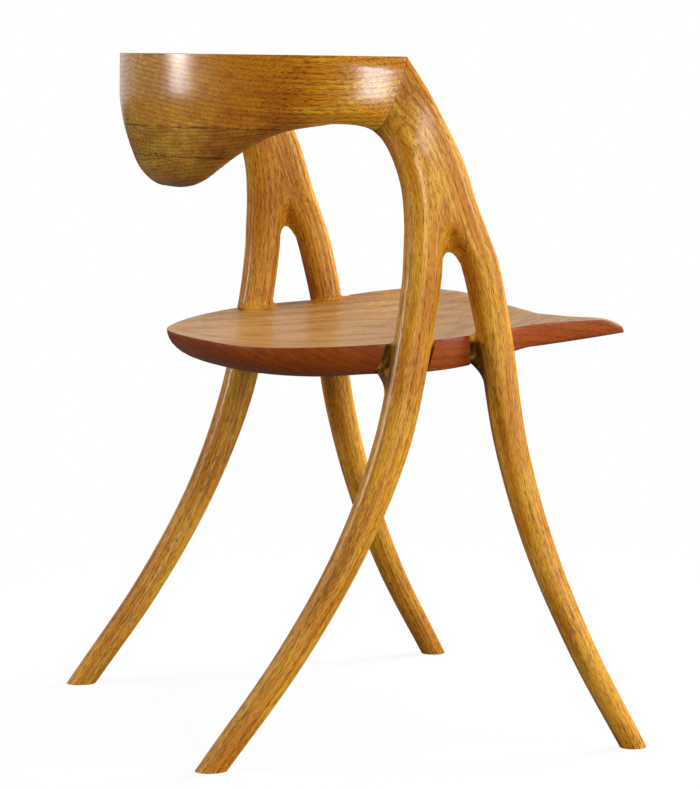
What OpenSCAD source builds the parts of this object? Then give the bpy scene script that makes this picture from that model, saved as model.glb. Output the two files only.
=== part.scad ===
// Sculpted hardwood armchair: four swept legs run up in pairs, join above the seat as two posts,
// and meet the ends of a horseshoe crest in mitres. The sitter faces -Y, the sitter's left is +X.

/* [Overall] */
// Height of the flat top of the crest
chair_h = 762; // [735:1:790]
// Height of the seat's rim at its widest place
seat_h = 458; // [440:1:472]
// Height where the gap between the two legs of a side closes
crotch_h = 552; // [542:1:564]

/* [Stance] */
// From the middle of the chair to the middle of a front foot
front_foot_x = 281; // [265:1:300]
// How far a front foot stands ahead of the middle
front_foot_y = 242; // [225:1:260]
// From the middle of the chair to the middle of a rear foot
rear_foot_x = 240; // [225:1:260]
// How far a rear foot stands behind the middle
rear_foot_y = 242; // [225:1:260]

/* [Legs] */
// How far the middle of a leg at seat height lies outside the seat's widest place
leg_out = 1; // [-1:0.5:3]
// Radius of a front leg at the foot
front_foot_r = 13.4; // [11:0.1:16]
// Radius of a rear leg at the foot
rear_foot_r = 14.3; // [11:0.1:16]
// Radius of a front leg where it joins the post
front_top_r = 20; // [19:0.1:21]
// Radius of a rear leg where it joins the post
rear_top_r = 21.4; // [20:0.1:22]
// Where a front leg's middle crosses seat height, ahead of the middle of the chair
front_leg_y = 76; // [72:1:80]
// Where a rear leg's middle crosses seat height, behind the middle of the chair
rear_leg_y = 21; // [17:1:25]

/* [Posts] */
// Half the thickness of a post, seen from the front
post_half = 21; // [19:0.5:23]
// From the middle of the chair to the middle of a post at its mitre
mitre_x = 225; // [221:1:228]
// Height of the mitre face, top to bottom
mitre_drop = 80; // [74:1:88]
// How far the mitre's lower end lies behind its upper end
mitre_run = 35; // [28:1:42]

/* [Crest] */
// Outer radius of the horseshoe at the back
crest_r = 236; // [230:1:240]
// Where the horseshoe's centre lies behind the middle of the chair
crest_y = 25.5; // [22:0.5:28]
// Thickness of the crest at the back
crest_t = 32; // [26:1:38]
// Height of the crest at the back
lobe_h = 148; // [138:1:156]
// Height of the arms at the top of the arch under them
arm_h = 73; // [66:1:78]
// How far the bottom of the back leans in under its top
lobe_lean = 33; // [24:1:42]
// Depth of the middle layer of the crest
middle_layer = 33; // [28:1:36]

/* [Seat] */
// Half the width of the seat at its widest place
seat_half = 248; // [242:0.5:250]
// How far the seat reaches behind its widest place
seat_back = 210; // [200:1:220]
// Depth from the rim to the flat underside
seat_t = 48; // [40:1:54]
// How far the bottom of the hollow lies below the rim
seat_dish = 22; // [16:1:26]
// Half the width over the front corners
wing_x = 250; // [244:1:256]
// How far the front corners lie ahead of the middle of the chair
wing_y = 234; // [226:1:242]
// How far the middle of the front edge lies ahead of the middle of the chair
front_y = 258; // [252:1:260]
// Number of boards glued edge to edge
boards = 5; // [5:2:5]
// Width of each inner board
board_w = 104; // [92:1:108]

/* [Joints] */
// Depth of the notch in the seat's edge that takes a leg
notch_depth = 30; // [26:1:34]
// Width of that notch
notch_w = 57; // [54:1:60]
// Thickness of the loose tenons
tenon_t = 10; // [8:0.5:12]
// Width of the loose tenons between leg and seat
tenon_w = 28; // [22:1:34]
// Length of the loose tenons between leg and seat
tenon_l = 56; // [46:1:64]
// Radius of the dowels between the seat's boards
dowel_r = 5; // [4:0.5:6]
// Length of those dowels
dowel_l = 50; // [40:1:60]
// Width of the loose tenons in post, mitre and crest
spline_w = 30; // [24:1:34]
// Length of the loose tenons in post, mitre and crest
spline_l = 44; // [36:1:48]

/* [Hidden] */

big = 1000;
leg_colour = [0.80, 0.52, 0.17];
crest_colour = [0.68, 0.42, 0.12];
seat_colour = [0.66, 0.40, 0.24];
peg_colour = [0.85, 0.68, 0.42];

// Smooth curve through rows of numbers, looked up by each row's first number.
function row_at(rows, key, i = 0) =
    i >= len(rows) - 2 || key < rows[i + 1][0] ? i : row_at(rows, key, i + 1);
function row_slope(rows, i) =
    let (a = max(i - 1, 0), b = min(i + 1, len(rows) - 1)) (rows[b] - rows[a]) / (rows[b][0] - rows[a][0]);
function curve(rows, key) =
    let (i = row_at(rows, key),
        span = rows[i + 1][0] - rows[i][0],
        t = (key - rows[i][0]) / span)
    (2 * pow(t, 3) - 3 * t * t + 1) * rows[i] + (pow(t, 3) - 2 * t * t + t) * span * row_slope(rows, i)
    + (3 * t * t - 2 * pow(t, 3)) * rows[i + 1] + (pow(t, 3) - t * t) * span * row_slope(rows, i + 1);

function clamp(v, low = 0, high = 1) = min(max(v, low), high);
function ease(t) = let (c = clamp(t)) c * c * (3 - 2 * c);
function mix(a, b, t) = a + (b - a) * t;
function power(v, p) = sign(v) * pow(abs(v), p);

// Solid through a list of rings with the same number of points each, closed at both ends.
module loft(rings) {
    n = len(rings[0]);
    m = len(rings);
    points = [for (ring = rings) for (p = ring) p];
    walls = [for (j = [0:m - 2]) for (i = [0:n - 1])
        let (a = j * n + i, b = j * n + (i + 1) % n) each [[a, b, b + n], [a, b + n, a + n]]];
    ends = [[for (i = [n - 1:-1:0]) i], [for (i = [0:n - 1]) (m - 1) * n + i]];
    polyhedron(points, concat(walls, ends), convexity = 8);
}

// Legs and posts.
leg_x = seat_half + leg_out;
// Rows of height, distance from the middle, distance behind the middle, radius.
rear_path = [
    [0, rear_foot_x, rear_foot_y, rear_foot_r],
    [0.25 * seat_h, leg_x - 5, mix(rear_leg_y, rear_foot_y, 0.612), 15.6],
    [0.5 * seat_h, leg_x - 1.5, mix(rear_leg_y, rear_foot_y, 0.306), 17],
    [0.75 * seat_h, leg_x + 0.5, mix(rear_leg_y, rear_foot_y, 0.1), 19.7],
    [seat_h, leg_x, rear_leg_y - 2, 20.7],
    [crotch_h, leg_x + 0.3, 9, rear_top_r]];
front_path = [
    [0, front_foot_x, -front_foot_y, front_foot_r],
    [0.25 * seat_h, mix(leg_x, front_foot_x, 0.83), mix(-front_leg_y, -front_foot_y, 0.615), 15],
    [0.5 * seat_h, mix(leg_x, front_foot_x, 0.5), mix(-front_leg_y, -front_foot_y, 0.318), 16.7],
    [0.75 * seat_h, mix(leg_x, front_foot_x, 0.26), mix(-front_leg_y, -front_foot_y, 0.115), 18],
    [seat_h, leg_x + 2.5, -front_leg_y - 0.5, 19.2],
    [crotch_h, leg_x + 3, -53, front_top_r]];

mitre_top_y = 23.5;
mitre_top = [mitre_top_y, chair_h];
mitre_low = mitre_top + [mitre_run, -mitre_drop];
function mitre_y(z) = mitre_top[0] + (chair_h - z) * mitre_run / mitre_drop;
kink_z = chair_h - 0.68 * mitre_drop;

// Distances behind the middle of the chair, at crotch height, of the seam between the two legs, the
// front edge and the rear edge of the post.
seam_y = -20;
front_edge_y = -73.5;
rear_edge_y = 30.5;

// Rows of share along the post, distance behind the middle, height. A bend gives the share along the
// post and how much of the way back and up an edge has gone there, from low to high.
function edge_rows(low, high, bends) =
    [for (b = bends) [b[0], mix(low[0], high[0], b[1]), mix(low[1], high[1], b[2])]];
seam_rows = edge_rows([seam_y, crotch_h], [mitre_y(kink_z), kink_z],
    [[0, 0, 0], [0.3, 0.104, 0.3], [0.55, 0.342, 0.55], [0.8, 0.654, 0.8], [1, 1, 1]]);
front_rows = edge_rows([front_edge_y, crotch_h], mitre_top,
    [[0, 0, 0], [0.12, 0.113, 0.12], [0.25, 0.216, 0.24], [0.5, 0.428, 0.49], [0.75, 0.68, 0.75], [1, 1, 1]]);
rear_rows = edge_rows([rear_edge_y, crotch_h], mitre_low,
    [[0, 0, 0], [0.25, -0.025, 0.26], [0.5, 0.089, 0.54], [0.75, 0.429, 0.78], [1, 1, 1]]);
post_x_rows = [[0, leg_x + 1.5], [0.3, leg_x - 1], [0.55, leg_x - 4.5], [0.8, leg_x - 11], [1, mitre_x]];

rear_post_round = 22;
front_post_round = 24;

leg_sides = 20;
web_share = 0.3;
web_rise = 46;

// One ring of a leg. origin is the ring's middle, out its direction away from the other leg, half
// its reach across and reach its reach outwards, flat the distance to the seam, web how much of
// the side that faces the other leg lies on the seam, and crisp how square the outer end is.
function leg_ring(origin, out, half, reach, flat, web, crisp) =
    [for (i = [0:leg_sides - 1])
        let (angle = -360 * i / leg_sides,
            c = cos(angle),
            s = sin(angle),
            outer = s >= 0,
            joined = outer ? 0 : ease(1 + (web - abs(c)) / 0.5),
            squared = outer ? 0 : ease(web),
            x = outer ? half * power(c, 2 / crisp) : half * mix(c, clamp(1.6 * c, -1, 1), squared),
            deep = mix(1, clamp(1.7 * abs(s)), squared),
            u = outer ? reach * power(s, 2 / crisp) : mix(reach * s, -flat * deep, joined))
        [origin[0] + x, origin[1] + u * out[0], origin[2] + u * out[1]]];

function low_ring(path, way, z) =
    let (p = curve(path, z),
        d = (curve(path, z + 1) - curve(path, max(z - 1, 0))) / (z < 1 ? 1 : 2),
        lean = sqrt(1 + d[2] * d[2]))
    leg_ring([p[1], p[2], z], [way, 0], p[3] * sqrt(1 + d[1] * d[1]), p[3] * lean,
        abs(p[2] - seam_rows[0][1]), (z - crotch_h) / web_rise, 2);

function post_ring(edge_rows, share, round_low, round_top, crisp_top) =
    let (seam = curve(seam_rows, share),
        edge = curve(edge_rows, share),
        m = [seam[1], seam[2]],
        e = [edge[1], edge[2]],
        out = (e - m) / norm(e - m),
        reach = mix(round_low, round_top, share),
        o = e - out * reach)
    leg_ring([curve(post_x_rows, share)[1], o[0], o[1]], out,
        mix(rear_top_r, post_half, ease(share / web_share)),
        reach, norm(e - m) - reach, share / web_share, mix(2, crisp_top, share));

low_heights = [for (i = [0:18]) i * (crotch_h - 12) / 18];
post_shares = [for (i = [0:10]) i / 10];

module rear_leg_blank() {
    low = [for (z = low_heights) low_ring(rear_path, 1, z)];
    post = [for (s = post_shares) post_ring(rear_rows, s, rear_top_r, rear_post_round, 2.2)];
    loft([for (ring = concat(low, post)) ring]);
}

module front_leg_blank() {
    low = [for (z = low_heights) low_ring(front_path, -1, z)];
    post = [for (s = post_shares) post_ring(front_rows, s, front_top_r * 1.07, front_post_round, 2.8)];
    mirror([1, 0, 0]) loft([for (ring = concat(low, post)) [for (p = ring) [-p[0], p[1], p[2]]]]);
}

// The seat.
// Rows of distance behind the middle, half width, rim height above seat_h, lower edge height,
// and how far the lower edge lies inside the rim.
waist_y = -10;
side_rows = [
    [-wing_y, wing_x, 4, 3.5, 1],
    [-0.92 * wing_y, wing_x - 4.5, 16, 0, 5],
    [-0.8 * wing_y, seat_half - 6.5, 17, -3.5, 7],
    [-0.56 * wing_y, seat_half - 12.5, 13.5, -12.5, 8],
    [-0.27 * wing_y, seat_half - 7, 5, -29, 9],
    [waist_y, seat_half, 0.5, -35, 10],
    [60, seat_half, -5, -39.5, 24],
    [110, seat_half, -9.5, -45, 36],
    [170, seat_half, -14, -seat_t, 50],
    [waist_y + seat_back, seat_half, -12, -seat_t, 58]];
// Rows of share from the middle of the front edge to its corner: distance ahead of the corner,
// rim height and lower edge height above seat_h, and how far the lower edge lies inside the rim.
front_edge_rows = [[0, front_y - wing_y, -6, -16, 12], [0.5, 0.78 * (front_y - wing_y), -1, -12, 11],
    [0.8, 0.4 * (front_y - wing_y), 8, -3, 7], [1, 0, 4, 3.5, 1]];

back_steps = 12;
side_steps = 9;
front_steps = 6;
function back_point(i) =
    let (a = 90 * (1 - i / back_steps), y = waist_y + seat_back * sin(a), row = curve(side_rows, y))
    [seat_half * cos(a), y, row[2], row[3], row[4], 0];
function side_point(i) =
    let (y = mix(waist_y, -wing_y, i / side_steps), row = curve(side_rows, y))
    [row[1], y, row[2], row[3], row[4], 0];
function front_point(i) =
    let (t = 1 - i / front_steps, row = curve(front_edge_rows, t))
    [wing_x * t, -wing_y - row[1], row[2], row[3], row[4], 1];
half_rim = concat([for (i = [0:back_steps - 1]) back_point(i)], [for (i = [0:side_steps - 1]) side_point(i)],
    [for (i = [0:front_steps]) front_point(i)]);
rim = concat(half_rim,
    [for (i = [len(half_rim) - 2:-1:1]) [-half_rim[i][0], each [for (k = [1:5]) half_rim[i][k]]]]);

// Height that the top would have at the rim if the front edge weren't rounded over.
ridge_rows = [[0, 10], [100, 15.5], [160, 19.5], [220, 22.5], [260, 23.5]];
dish_y = 30;
dish_centre = [0, dish_y];
top_shares = [0.25, 0.5, 0.7, 0.85, 0.955];
side_shares = [0.25, 0.5, 0.75, 1];
under_shares = [0.8, 0.5];

// Front rows carry a ridge, and it fades out along the sides.
function ridge(p) =
    let (front = p[5] == 1 ? 1 : ease((-p[1] - 0.75 * wing_y) / (0.25 * wing_y)))
    mix(p[2], curve(ridge_rows, abs(p[0]))[1], front);
function toward(p, share) = [mix(dish_centre[0], p[0], share), mix(dish_centre[1], p[1], share)];
function inward(p, d) =
    let (v = dish_centre - [p[0], p[1]]) [p[0], p[1]] + v / norm(v) * d;
function top_ring(share) =
    [for (p = rim) [each toward(p, share), seat_h - seat_dish + (ridge(p) + seat_dish) * pow(share, 2.4)]];
function side_ring(share) =
    [for (p = rim) [each inward(p, p[4] * (1 - cos(90 * share))), seat_h + mix(p[2], p[3], sin(90 * share))]];
function under_ring(share) =
    [for (p = rim) let (low = inward(p, p[4]), flat = -seat_t)
        [mix(dish_centre[0], low[0], share), mix(dish_centre[1], low[1], share),
        seat_h + mix(flat, p[3], pow(share, 2.2))]];

module seat_blank() {
    n = len(rim);
    rings = concat([for (s = top_shares) top_ring(s)], [[for (p = rim) [p[0], p[1], seat_h + p[2]]]],
        [for (s = side_shares) side_ring(s)], [for (s = under_shares) under_ring(s)]);
    m = len(rings);
    points = concat([for (ring = rings) for (p = ring) p],
        [[0, dish_y, seat_h - seat_dish], [0, dish_y, seat_h - seat_t]]);
    walls = [for (j = [0:m - 2]) for (i = [0:n - 1])
        let (a = j * n + i, b = j * n + (i + 1) % n)
        each i < n / 2 ? [[a, b + n, b], [a, a + n, b + n]] : [[a, a + n, b], [b, a + n, b + n]]];
    caps = [for (i = [0:n - 1]) each [[m * n, i, (i + 1) % n],
        [m * n + 1, (m - 1) * n + (i + 1) % n, (m - 1) * n + i]]];
    polyhedron(points, concat(walls, caps), convexity = 8);
}

joint_z = seat_h - seat_t / 2;
notch_x = seat_half - notch_depth;
tenon_rise = 5;
function leg_y(path) = curve(path, joint_z)[2];

// Places what joins a leg to the seat on the leg's middle line, leaning as the leg leans there.
module at_leg(path) {
    slope = (curve(path, joint_z + seat_t / 2)[2] - curve(path, joint_z - seat_t / 2)[2]) / seat_t;
    translate([notch_x, leg_y(path), joint_z]) rotate([-atan(slope), 0, 0]) children();
}

module notch(path) {
    at_leg(path) translate([0, -notch_w / 2, -2 * seat_t]) cube([big, notch_w, 4 * seat_t]);
}

module leg_tenon(path) {
    at_leg(path) translate([0, 0, tenon_rise]) cube([tenon_l, tenon_w, tenon_t], center = true);
}

seam_x = [for (i = [0:boards - 2]) (i - (boards - 2) / 2) * board_w];
// Places of the dowels, as distance behind the middle and depth below seat_h. Those of the outer seams
// keep clear of the leg tenons.
inner_dowels = [[-110, 28], [-40, 31], [40, 32], [100, 31]];
outer_dowels = [[-44, 24], [-14, 27], [42, 30], [100, 28]];
module dowel_row(x) {
    for (place = abs(x) > board_w ? outer_dowels : inner_dowels)
        translate([x - dowel_l / 2, place[0], seat_h - place[1]])
            rotate([0, 90, 0]) cylinder(r = dowel_r, h = dowel_l, $fn = 24);
}

module seat_board(i) {
    left = i == 0 ? -big : seam_x[i - 1];
    right = i == boards - 1 ? big : seam_x[i];
    color(seat_colour) difference() {
        intersection() {
            seat_blank();
            translate([left, -big, 0]) cube([right - left, 2 * big, seat_h * 2]);
        }
        for (x = seam_x) if (x == left || x == right) dowel_row(x);
        if (i == 0) mirror([1, 0, 0]) notches();
        if (i == boards - 1) notches();
        if (i == 0) mirror([1, 0, 0]) leg_tenons();
        if (i == boards - 1) leg_tenons();
    }
}

module notches() {
    notch(front_path);
    notch(rear_path);
}

module leg_tenons() {
    leg_tenon(front_path);
    leg_tenon(rear_path);
}

module seat_board_far_right() seat_board(0);
module seat_board_right() seat_board(1);
module seat_board_middle() seat_board(2);
module seat_board_left() seat_board(3);
module seat_board_far_left() seat_board(4);
module seat_dowels() color(peg_colour) for (x = seam_x) dowel_row(x);

// The shoulder of a leg fills its notch in the seat's edge, flush with the seat.
module shoulder(path) {
    intersection() {
        seat_blank();
        notch(path);
    }
}

// Loose tenons that cross the seam between the two legs of a side.
post_tenon_shares = [0.5, 0.8];
module post_tenon(share) {
    p = curve(seam_rows, share);
    d = curve(seam_rows, share + 0.01) - curve(seam_rows, share - 0.01);
    translate([curve(post_x_rows, share)[1], p[1], p[2]]) rotate([-atan2(d[1], d[2]), 0, 0])
        cube([tenon_t, spline_l * 0.6, spline_w * 0.8], center = true);
}
module post_tenons() for (s = post_tenon_shares) post_tenon(s);

mitre_tilt = atan2(mitre_run, mitre_drop);
module mitre_tenon() {
    z = chair_h - mitre_drop * 0.36;
    translate([mitre_x, mitre_y(z), z]) rotate([mitre_tilt, 0, 0])
        cube([tenon_t, spline_l, spline_w * 0.8], center = true);
}

module rear_leg() color(leg_colour) difference() {
    union() {
        rear_leg_blank();
        shoulder(rear_path);
    }
    leg_tenon(rear_path);
    post_tenons();
    mitre_tenon();
}

module front_leg() color(leg_colour) difference() {
    union() {
        front_leg_blank();
        shoulder(front_path);
    }
    leg_tenon(front_path);
    post_tenons();
    mitre_tenon();
}

module rear_leg_left() rear_leg();
module rear_leg_right() mirror([1, 0, 0]) rear_leg();
module front_leg_left() front_leg();
module front_leg_right() mirror([1, 0, 0]) front_leg();
module rear_leg_tenon_left() color(peg_colour) leg_tenon(rear_path);
module rear_leg_tenon_right() color(peg_colour) mirror([1, 0, 0]) leg_tenon(rear_path);
module front_leg_tenon_left() color(peg_colour) leg_tenon(front_path);
module front_leg_tenon_right() color(peg_colour) mirror([1, 0, 0]) leg_tenon(front_path);
module post_tenons_left() color(peg_colour) post_tenons();
module post_tenons_right() color(peg_colour) mirror([1, 0, 0]) post_tenons();
module mitre_tenon_left() color(peg_colour) mitre_tenon();
module mitre_tenon_right() color(peg_colour) mirror([1, 0, 0]) mitre_tenon();

// The crest.
arch_a = 20;
drop_a = 77;
low_start = asin((mitre_low[0] - crest_y) / mitre_x);
function crest_low(a) =
    a < arch_a ? chair_h - mix(arm_h, mitre_drop, pow((arch_a - a) / (arch_a - low_start), 2))
    : chair_h - arm_h - (lobe_h - arm_h) * ease((a - arch_a) / (drop_a - arch_a));
lean_top = 44;
function lean(z) = lobe_lean * pow(max(chair_h - lean_top - z, 0) / (lobe_h - lean_top), 1.7);

// Radii of the crest's edges at the mitre: inner top, outer top and the two lower ones. Towards the
// back the upper ones sharpen to crisp_round.
inner_round = 13;
outer_round = 22;
low_round = 20;
crisp_round = 2;

// Section of the crest at a share from mitre to back, as radius and height from the inner top edge
// down, round the bottom and up the outside.
function crest_section(t) =
    let (half = mix(post_half, crest_t / 2, ease(t / 0.7)),
        middle = mix(mitre_x, crest_r - crest_t / 2, ease(t / 0.5)),
        low = crest_low(mix(low_start, 90, t)),
        edge = ease(t / 0.4),
        ra = mix(inner_round, crisp_round, edge),
        rb = mix(outer_round, crisp_round, edge),
        rl = mix(low_round, half, ease(t / 0.5)),
        z1 = chair_h - rb,
        z2 = low + rl,
        corner = [for (k = [0:3]) let (q = 30 * k) [half - ra + ra * sin(q), chair_h - rb + rb * cos(q)]],
        side = [for (k = [1:4]) [half, mix(z1, z2, k / 5)]],
        bottom = [for (k = [0:8]) let (q = 22.5 * k) [-half * cos(q), z2 - rl * sin(q)]],
        outside = concat(corner, side),
        profile = concat([for (p = outside) [-p[0], p[1]]], bottom,
            [for (k = [len(outside) - 1:-1:0]) outside[k]]))
    [for (p = profile) [middle + p[0] - lean(p[1]), p[1]]];

function crest_ring(share, way) =
    [for (p = crest_section(share))
        let (start = asin((mitre_y(p[1]) - crest_y) / p[0]), a = mix(start, 90, share))
        [way * p[0] * cos(a), crest_y + p[0] * sin(a), p[1]]];

arm_stations = 22;
module crest_half() {
    loft([for (i = [0:arm_stations]) crest_ring(i / arm_stations, 1)]);
}

lobe_start = 0.28;
lobe_stations = 18;
module crest_lobe() {
    loft(concat([for (i = [0:lobe_stations]) crest_ring(mix(lobe_start, 1, i / lobe_stations), 1)],
        [for (i = [lobe_stations - 1:-1:0]) crest_ring(mix(lobe_start, 1, i / lobe_stations), -1)]));
}

module layer(top, low) {
    translate([-big, -big, low]) cube([2 * big, 2 * big, top - low]);
}
upper_low = mitre_low[1];
middle_low = upper_low - middle_layer;

module crest_spline_blank() {
    translate([0, crest_y + crest_r - crest_t / 2, (chair_h + upper_low) / 2])
        cube([spline_l, tenon_t, spline_w], center = true);
}

module crest_arm() color(crest_colour) difference() {
    intersection() {
        crest_half();
        layer(chair_h + big, upper_low);
    }
    crest_spline_blank();
    mitre_tenon();
}

module crest_arm_left() crest_arm();
module crest_arm_right() mirror([1, 0, 0]) crest_arm();
module crest_middle_layer() color(crest_colour) intersection() {
    crest_lobe();
    layer(upper_low, middle_low);
}
module crest_lower_layer() color(crest_colour) intersection() {
    crest_lobe();
    layer(middle_low, 0);
}
module crest_spline() color(peg_colour) crest_spline_blank();

seat_board_far_right();
seat_board_right();
seat_board_middle();
seat_board_left();
seat_board_far_left();
seat_dowels();
rear_leg_right();
rear_leg_left();
front_leg_right();
front_leg_left();
rear_leg_tenon_right();
rear_leg_tenon_left();
front_leg_tenon_right();
front_leg_tenon_left();
post_tenons_right();
post_tenons_left();
mitre_tenon_right();
mitre_tenon_left();
crest_arm_right();
crest_arm_left();
crest_middle_layer();
crest_lower_layer();
crest_spline();
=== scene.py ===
# Sculpted oak armchair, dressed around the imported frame. The sitter faces -Y, +X is the sitter's left.
from math import asin, atan, copysign, cos, degrees, hypot, pi, radians, sin, sqrt
import bmesh
import bpy
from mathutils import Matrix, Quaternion, Vector
from mathutils.bvhtree import BVHTree


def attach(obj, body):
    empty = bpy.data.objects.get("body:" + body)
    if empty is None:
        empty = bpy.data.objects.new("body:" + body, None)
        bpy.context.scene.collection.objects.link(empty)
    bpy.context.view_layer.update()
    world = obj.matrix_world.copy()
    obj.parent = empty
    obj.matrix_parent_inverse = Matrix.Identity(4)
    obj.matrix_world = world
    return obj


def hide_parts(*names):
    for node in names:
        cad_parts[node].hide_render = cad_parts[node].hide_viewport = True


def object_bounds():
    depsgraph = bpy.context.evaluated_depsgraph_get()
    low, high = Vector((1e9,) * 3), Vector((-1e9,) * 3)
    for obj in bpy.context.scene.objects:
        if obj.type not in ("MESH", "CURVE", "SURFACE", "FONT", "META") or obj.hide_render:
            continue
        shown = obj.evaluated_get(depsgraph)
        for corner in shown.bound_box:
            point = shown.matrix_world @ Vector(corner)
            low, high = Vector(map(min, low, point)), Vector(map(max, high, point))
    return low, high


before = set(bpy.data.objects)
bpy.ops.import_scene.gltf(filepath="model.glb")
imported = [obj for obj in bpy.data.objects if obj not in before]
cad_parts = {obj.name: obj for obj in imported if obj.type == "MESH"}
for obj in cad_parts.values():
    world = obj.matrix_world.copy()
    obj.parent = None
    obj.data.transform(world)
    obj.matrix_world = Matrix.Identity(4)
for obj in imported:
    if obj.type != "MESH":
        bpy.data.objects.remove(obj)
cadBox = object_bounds()
mm = 0.001  # the sizes below are in millimetres, the scene is in metres
crease = radians(38)  # edges sharper than this stay crisp


# Small sums

def clamp(value, low=0.0, high=1.0):
    return min(max(value, low), high)


def ease(value):
    t = clamp(value)
    return t * t * (3 - 2 * t)


def mix(a, b, t):
    return a + (b - a) * t


def power(value, exponent):
    return copysign(abs(value) ** exponent, value)


def curveAt(rows, key):
    # smooth curve through rows, looked up by each row's first number
    i = 0
    while i < len(rows) - 2 and key >= rows[i + 1][0]:
        i += 1
    span = rows[i + 1][0] - rows[i][0]
    t = (key - rows[i][0]) / span

    def slope(k, column):
        a, b = max(k - 1, 0), min(k + 1, len(rows) - 1)
        return (rows[b][column] - rows[a][column]) / (rows[b][0] - rows[a][0])

    return [(2 * t**3 - 3 * t * t + 1) * rows[i][c] + (t**3 - 2 * t * t + t) * span * slope(i, c)
            + (3 * t * t - 2 * t**3) * rows[i + 1][c] + (t**3 - t * t) * span * slope(i + 1, c)
            for c in range(len(rows[i]))]


# Modelling steps

def pick(*pieces):
    bpy.ops.object.select_all(action="DESELECT")
    for piece in pieces:
        piece.select_set(True)
    bpy.context.view_layer.objects.active = pieces[0]
    return pieces[0]


def drop(*pieces):
    pick(*pieces)
    bpy.ops.object.delete()


def twin(piece, name):
    pick(piece)
    bpy.ops.object.duplicate()
    made = bpy.context.object
    made.name = name
    return made


def joined(name, *pieces):
    first = twin(pieces[0], name)
    others = [twin(piece, piece.name + "Part") for piece in pieces[1:]]
    pick(first, *others)
    bpy.ops.object.join()
    return first


def finishWith(piece, kind, **settings):
    # adds a modifier and applies it
    pick(piece)
    modifier = piece.modifiers.new(kind.title(), kind)
    for name, value in settings.items():
        setattr(modifier, name, value)
    bpy.ops.object.modifier_apply(modifier=modifier.name)


def placeRing(piece, ring):
    # the ring that was extruded last is what is selected
    shape = bmesh.from_edit_mesh(piece.data)
    newest = [vertex for vertex in shape.verts if vertex.select]
    for vertex, place in zip(newest, ring):
        vertex.co = Vector(place) * mm
    bmesh.update_edit_mesh(piece.data)


def sweepRings(name, rings):
    # a circle, extruded ring by ring and shaped after each step
    bpy.ops.object.select_all(action="DESELECT")
    bpy.ops.mesh.primitive_circle_add(vertices=len(rings[0]), radius=20 * mm, fill_type="NGON",
                                      enter_editmode=True)
    piece = bpy.context.object
    piece.name = name
    placeRing(piece, rings[0])
    for ring in rings[1:]:
        bpy.ops.mesh.extrude_region_move()
        placeRing(piece, ring)
    bpy.ops.mesh.select_all(action="SELECT")
    bpy.ops.mesh.normals_make_consistent(inside=False)
    bpy.ops.object.mode_set(mode="OBJECT")
    return piece


def cutAway(piece, place, normal):
    # cuts along a plane, and takes away what lies on the normal's side
    pick(piece)
    bpy.ops.object.mode_set(mode="EDIT")
    bpy.ops.mesh.select_all(action="SELECT")
    bpy.ops.mesh.bisect(plane_co=Vector(place) * mm, plane_no=Vector(normal).normalized(),
                        use_fill=True, clear_outer=True)
    bpy.ops.object.mode_set(mode="OBJECT")


def block(low, high, turn=None):
    # a box between two corners; turn is a centre and a tilt about X
    bpy.ops.object.select_all(action="DESELECT")
    bpy.ops.mesh.primitive_cube_add(size=1, enter_editmode=True)
    cutter = bpy.context.object
    shape = bmesh.from_edit_mesh(cutter.data)
    low, high = Vector(low), Vector(high)
    for vertex in shape.verts:
        share = vertex.co + Vector((0.5, 0.5, 0.5))
        place = Vector([mix(low[k], high[k], share[k]) for k in range(3)])
        if turn:
            centre, tilt = turn
            place = Vector(centre) + Quaternion((1, 0, 0), tilt) @ (place - Vector(centre))
        vertex.co = place * mm
    bmesh.update_edit_mesh(cutter.data)
    bpy.ops.object.mode_set(mode="OBJECT")
    return cutter


def carve(piece, cutter, operation="DIFFERENCE"):
    finishWith(piece, "BOOLEAN", object=cutter, operation=operation, solver="EXACT")
    drop(cutter)


def mirrored(piece, name):
    made = twin(piece, name)
    bpy.ops.object.mode_set(mode="EDIT")
    bpy.ops.mesh.select_all(action="SELECT")
    bpy.ops.transform.resize(value=(-1, 1, 1), orient_type="GLOBAL", center_override=(0, 0, 0))
    bpy.ops.mesh.flip_normals()
    bpy.ops.object.mode_set(mode="OBJECT")
    return made


# Sizes that several pieces share

chair = {"height": cadBox[1].z / mm, "seatH": 458, "crotchH": 552}
mitre = {"topY": 27.5, "drop": 80, "run": 28, "x": 225, "half": 21, "kinkShare": 0.68}
mitre["low"] = (mitre["topY"] + mitre["run"], chair["height"] - mitre["drop"])
mitre["kinkZ"] = chair["height"] - mitre["kinkShare"] * mitre["drop"]


def mitreY(z):
    return mitre["topY"] + (chair["height"] - z) * mitre["run"] / mitre["drop"]


# Crest

crest = {
    "r": 236, "y": 25.5, "thick": 32, "lobeH": 148, "armH": 73, "layer": 33,
    "lean": 31.5, "leanTop": 44, "leanPower": 1.7,  # the lobe leans in below leanTop
    # reach across and down of the top's rounding, and how far it would rise past the top
    "topRound": (15, 26, 7), "arris": (0.8, 0.8, 0),
    "lowRound": (20, 27),  # depth of the lower rounding, at the mitre and at the back
    # share of the way round where each size has changed over from the mitre's to the back's
    "settled": {"half": 0.7, "middle": 0.5, "corner": 0.4, "lowRound": 0.5},
    "steps": {"corner": 8, "side": 14, "bottom": 22},
    "stations": 84, "lobeStart": 0.28, "lobeStations": 60,
    # angle, share of the way down from arm to lobe
    "low": [(20, 0), (34, 0.145), (45, 0.42), (55, 0.7), (62, 0.86), (70, 0.96), (79, 1), (90, 1)],
}
lowStart = asin((mitre["low"][0] - crest["y"]) / mitre["x"])


def crestLow(a):
    archA = crest["low"][0][0]
    a = degrees(a)
    if a < archA:
        t = (archA - a) / (archA - degrees(lowStart))
        return chair["height"] - mix(crest["armH"], mitre["drop"], t**3)
    return chair["height"] - mix(crest["armH"], crest["lobeH"], curveAt(crest["low"], a)[1])


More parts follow.
